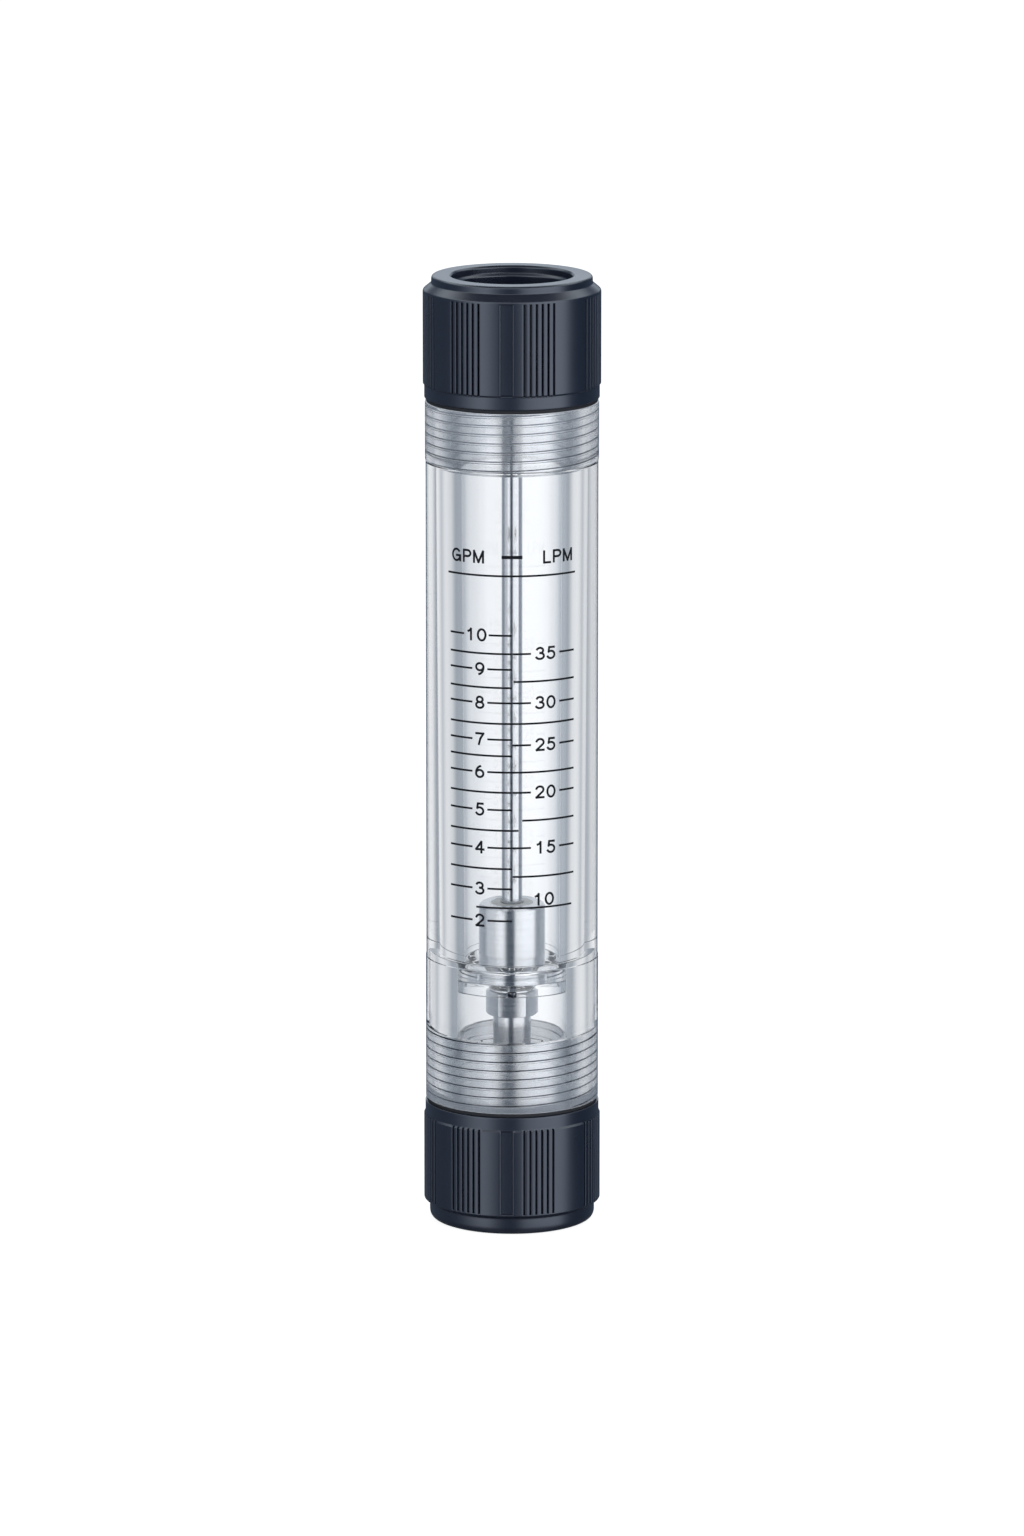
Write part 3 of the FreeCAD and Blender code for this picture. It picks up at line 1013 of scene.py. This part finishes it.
def faded(value, start, end):
    """0 below start, 1 above end."""
    share = (value - start) / (end - start)
    return share.math("MAXIMUM", 0.0).math("MINIMUM", 1.0)


def mixed(recipe, factor, first, second, blend="MIX"):
    return recipe.add("ShaderNodeMix", {"data_type": "RGBA", "blend_type": blend},
                      {0: factor, 6: first, 7: second}, output=2)


def soft_studio():
    """White studio. Glossy and clear surfaces see soft boxes and dark gaps round the meter.

    mirrored is what a surface reflects, behind is what shows straight through the acrylic, and
    inside is what has also bounced off the metal or a wall within it.
    """
    world = bpy.data.worlds.new("soft_studio")
    bpy.context.scene.world = world
    world.use_nodes = True
    recipe = Recipe(world.node_tree)
    direction = recipe.add("ShaderNodeTexCoord", output="Generated")
    split = recipe.add("ShaderNodeSeparateXYZ", inputs=(direction,)).socket.node.outputs
    across, depth, up = (Field(recipe, split[name]) for name in "XYZ")
    turn = across.math("ARCTAN2", depth * -1.0) / (2 * math.pi) + 0.5
    front = [(-84, 0.70), (-56, 0.85), (-40, 1.35), (-27, 1.4), (-15, 0.12), (5, 0.10), (12, 1.25),
             (40, 1.45), (70, 1.45), (83, 0.30)]
    mirrored = studio_ramp(recipe, turn, [
        (-180, 0.10), (-150, 0.13), (-126, 0.16), (-95, 0.19), (-84, 0.24), (-75, 0.36), (-68, 0.62),
        (-59, 1.0), (-50, 1.4), (-42, 1.7), (-35, 1.7), (-31, 1.45), (-27, 1.0), (-22, 0.66),
        (-16, 0.40), (-9, 0.16), (8, 0.12), (13, 0.75), (17, 1.35), (25, 1.5), (36, 1.7), (60, 1.8),
        (69, 1.75), (74, 1.4), (79, 0.4), (84, 0.14), (95, 0.09), (150, 0.12), (180, 0.10)])
    inside = studio_ramp(recipe, turn, [
        (-180, 0.58), (-166, 0.78), (-156, 0.78), (-140, 0.66), (-126, 0.36), (-108, 0.38),
        (-98, 0.25)] + front + [(98, 0.25), (110, 0.40), (126, 0.38), (141, 0.76), (156, 0.84),
        (166, 0.80), (180, 0.58)])
    behind = studio_ramp(recipe, turn, [
        (-180, 0.97), (-170, 0.86), (-158, 0.78), (-146, 0.66), (-136, 0.50), (-129, 0.45),
        (-122, 0.80), (-112, 1.0), (-104, 0.90), (-99, 0.30), (-94, 0.40), (-86, 0.90), (86, 0.90),
        (94, 0.40), (99, 0.30), (104, 0.90), (112, 1.0), (122, 0.80), (129, 0.26), (136, 0.50),
        (146, 0.70), (158, 0.90), (170, 1.0), (180, 0.97)])
    above_ground = (up + 0.55).math("MULTIPLY", 3.0).math("MINIMUM", 1.0).math("MAXIMUM", 0.1)
    mirrored = mixed(recipe, above_ground, (0.10, 0.105, 0.115, 1), mirrored)
    mirrored = mixed(recipe, 1.0, mirrored, (0.887, 1.0, 1.19, 1), "MULTIPLY")
    mirrored = mixed(recipe, faded(up, 0.45, 0.6), mirrored, (1.5, 1.65, 1.8, 1))
    mirrored = mixed(recipe, faded(up, 0.7, 0.86), mirrored, (0.12, 0.13, 0.15, 1))
    skyline = faded(depth, 0.86, 0.95) * faded(up, 0.05, 0.15)
    mirrored = mixed(recipe, skyline, mirrored, (1.1, 1.24, 1.4, 1))
    path = recipe.add("ShaderNodeLightPath").socket.node.outputs
    bounced = Field(recipe, path["Glossy Depth"]).math("MINIMUM", 1.0)
    glossy = mixed(recipe, Field(recipe, path["Is Glossy Ray"]), (0.60, 0.62, 0.65, 1), mirrored)
    clear = mixed(recipe, bounced, behind, inside)
    clear = mixed(recipe, Field(recipe, path["Is Transmission Ray"]), glossy, clear)
    seen = mixed(recipe, Field(recipe, path["Is Camera Ray"]), clear, (1, 1, 1, 1))
    background = recipe.add("ShaderNodeBackground", inputs={"Color": seen, "Strength": 1.0})
    recipe.add("ShaderNodeOutputWorld", inputs={"Surface": background})


def pale_floor():
    """White floor. Mirror and clear surfaces look past it to the studio."""
    deselect_all()
    bpy.ops.mesh.primitive_circle_add(vertices=96, radius=30, fill_type="NGON", location=(0, 0, 0))
    floor = bpy.context.object
    floor.name = "pale_floor"
    material, recipe = new_material("pale_floor")
    path = recipe.add("ShaderNodeLightPath").socket.node.outputs
    paper = recipe.add("ShaderNodeBsdfDiffuse", inputs={"Color": (0.9, 0.9, 0.9, 1)})
    glow = recipe.add("ShaderNodeEmission", inputs={"Color": (1, 1, 1, 1), "Strength": 1.35})
    lit = recipe.add("ShaderNodeMixShader", inputs={0: 0.65, 1: paper, 2: glow})
    unseen = recipe.add("ShaderNodeBsdfTransparent")
    plain = recipe.add("ShaderNodeMixShader", inputs={
        0: Field(recipe, path["Is Camera Ray"]), 1: paper, 2: lit})
    mirror_or_clear = Field(recipe, path["Is Glossy Ray"]) + Field(recipe, path["Is Transmission Ray"])
    shown = recipe.add("ShaderNodeMixShader", inputs={0: mirror_or_clear, 1: plain, 2: unseen})
    recipe.add("ShaderNodeOutputMaterial", inputs={"Surface": shown})
    floor.data.materials.append(material)


def soft_box(name, location, size, watts, target=(0, 0, 0.12)):
    light = bpy.data.lights.new(name, "AREA")
    light.shape = "RECTANGLE"
    light.size, light.size_y = size
    light.energy = watts
    lamp = bpy.data.objects.new(name, light)
    lamp.location = location
    lamp.rotation_euler = (Vector(target) - Vector(location)).to_track_quat("-Z", "Y").to_euler()
    bpy.context.collection.objects.link(lamp)
    lamp.visible_glossy = False
    lamp.visible_transmission = False


def camera():
    data = bpy.data.cameras.new("camera")
    data.lens = LENS_MM
    data.sensor_width = 36
    data.clip_end = 100
    view = bpy.data.objects.new("camera", data)
    pitch = math.radians(CAMERA_PITCH_DEG)
    aim = Vector((0, 0, HEIGHT * 0.4805))
    view.location = aim + CAMERA_DISTANCE * Vector((0, -math.cos(pitch), math.sin(pitch)))
    view.rotation_euler = (aim - view.location).to_track_quat("-Z", "Y").to_euler()
    bpy.context.collection.objects.link(view)
    bpy.context.scene.camera = view


def studio():
    soft_studio()
    pale_floor()
    soft_box("key_box", (0.9, -1.1, 0.9), (0.7, 1.0), 7)
    soft_box("fill_box", (-1.2, -0.8, 0.8), (0.6, 0.9), 3)
    soft_box("top_box", (0, 0.1, 1.4), (0.8, 0.8), 4)
    camera()
    bpy.context.scene.view_settings.view_transform = "Standard"


# ---------------------------------------------------------------- the whole meter

clear_tube()
end_fittings()
seam_rings()
guide_rod()
steel_float()
seat_parts()
orifice_ring()
rod_holders()
small_parts()
printed_scale()
for gasket in ("bottom_face_gasket", "top_face_gasket"):
    dress(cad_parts[gasket], "rubber")
studio()
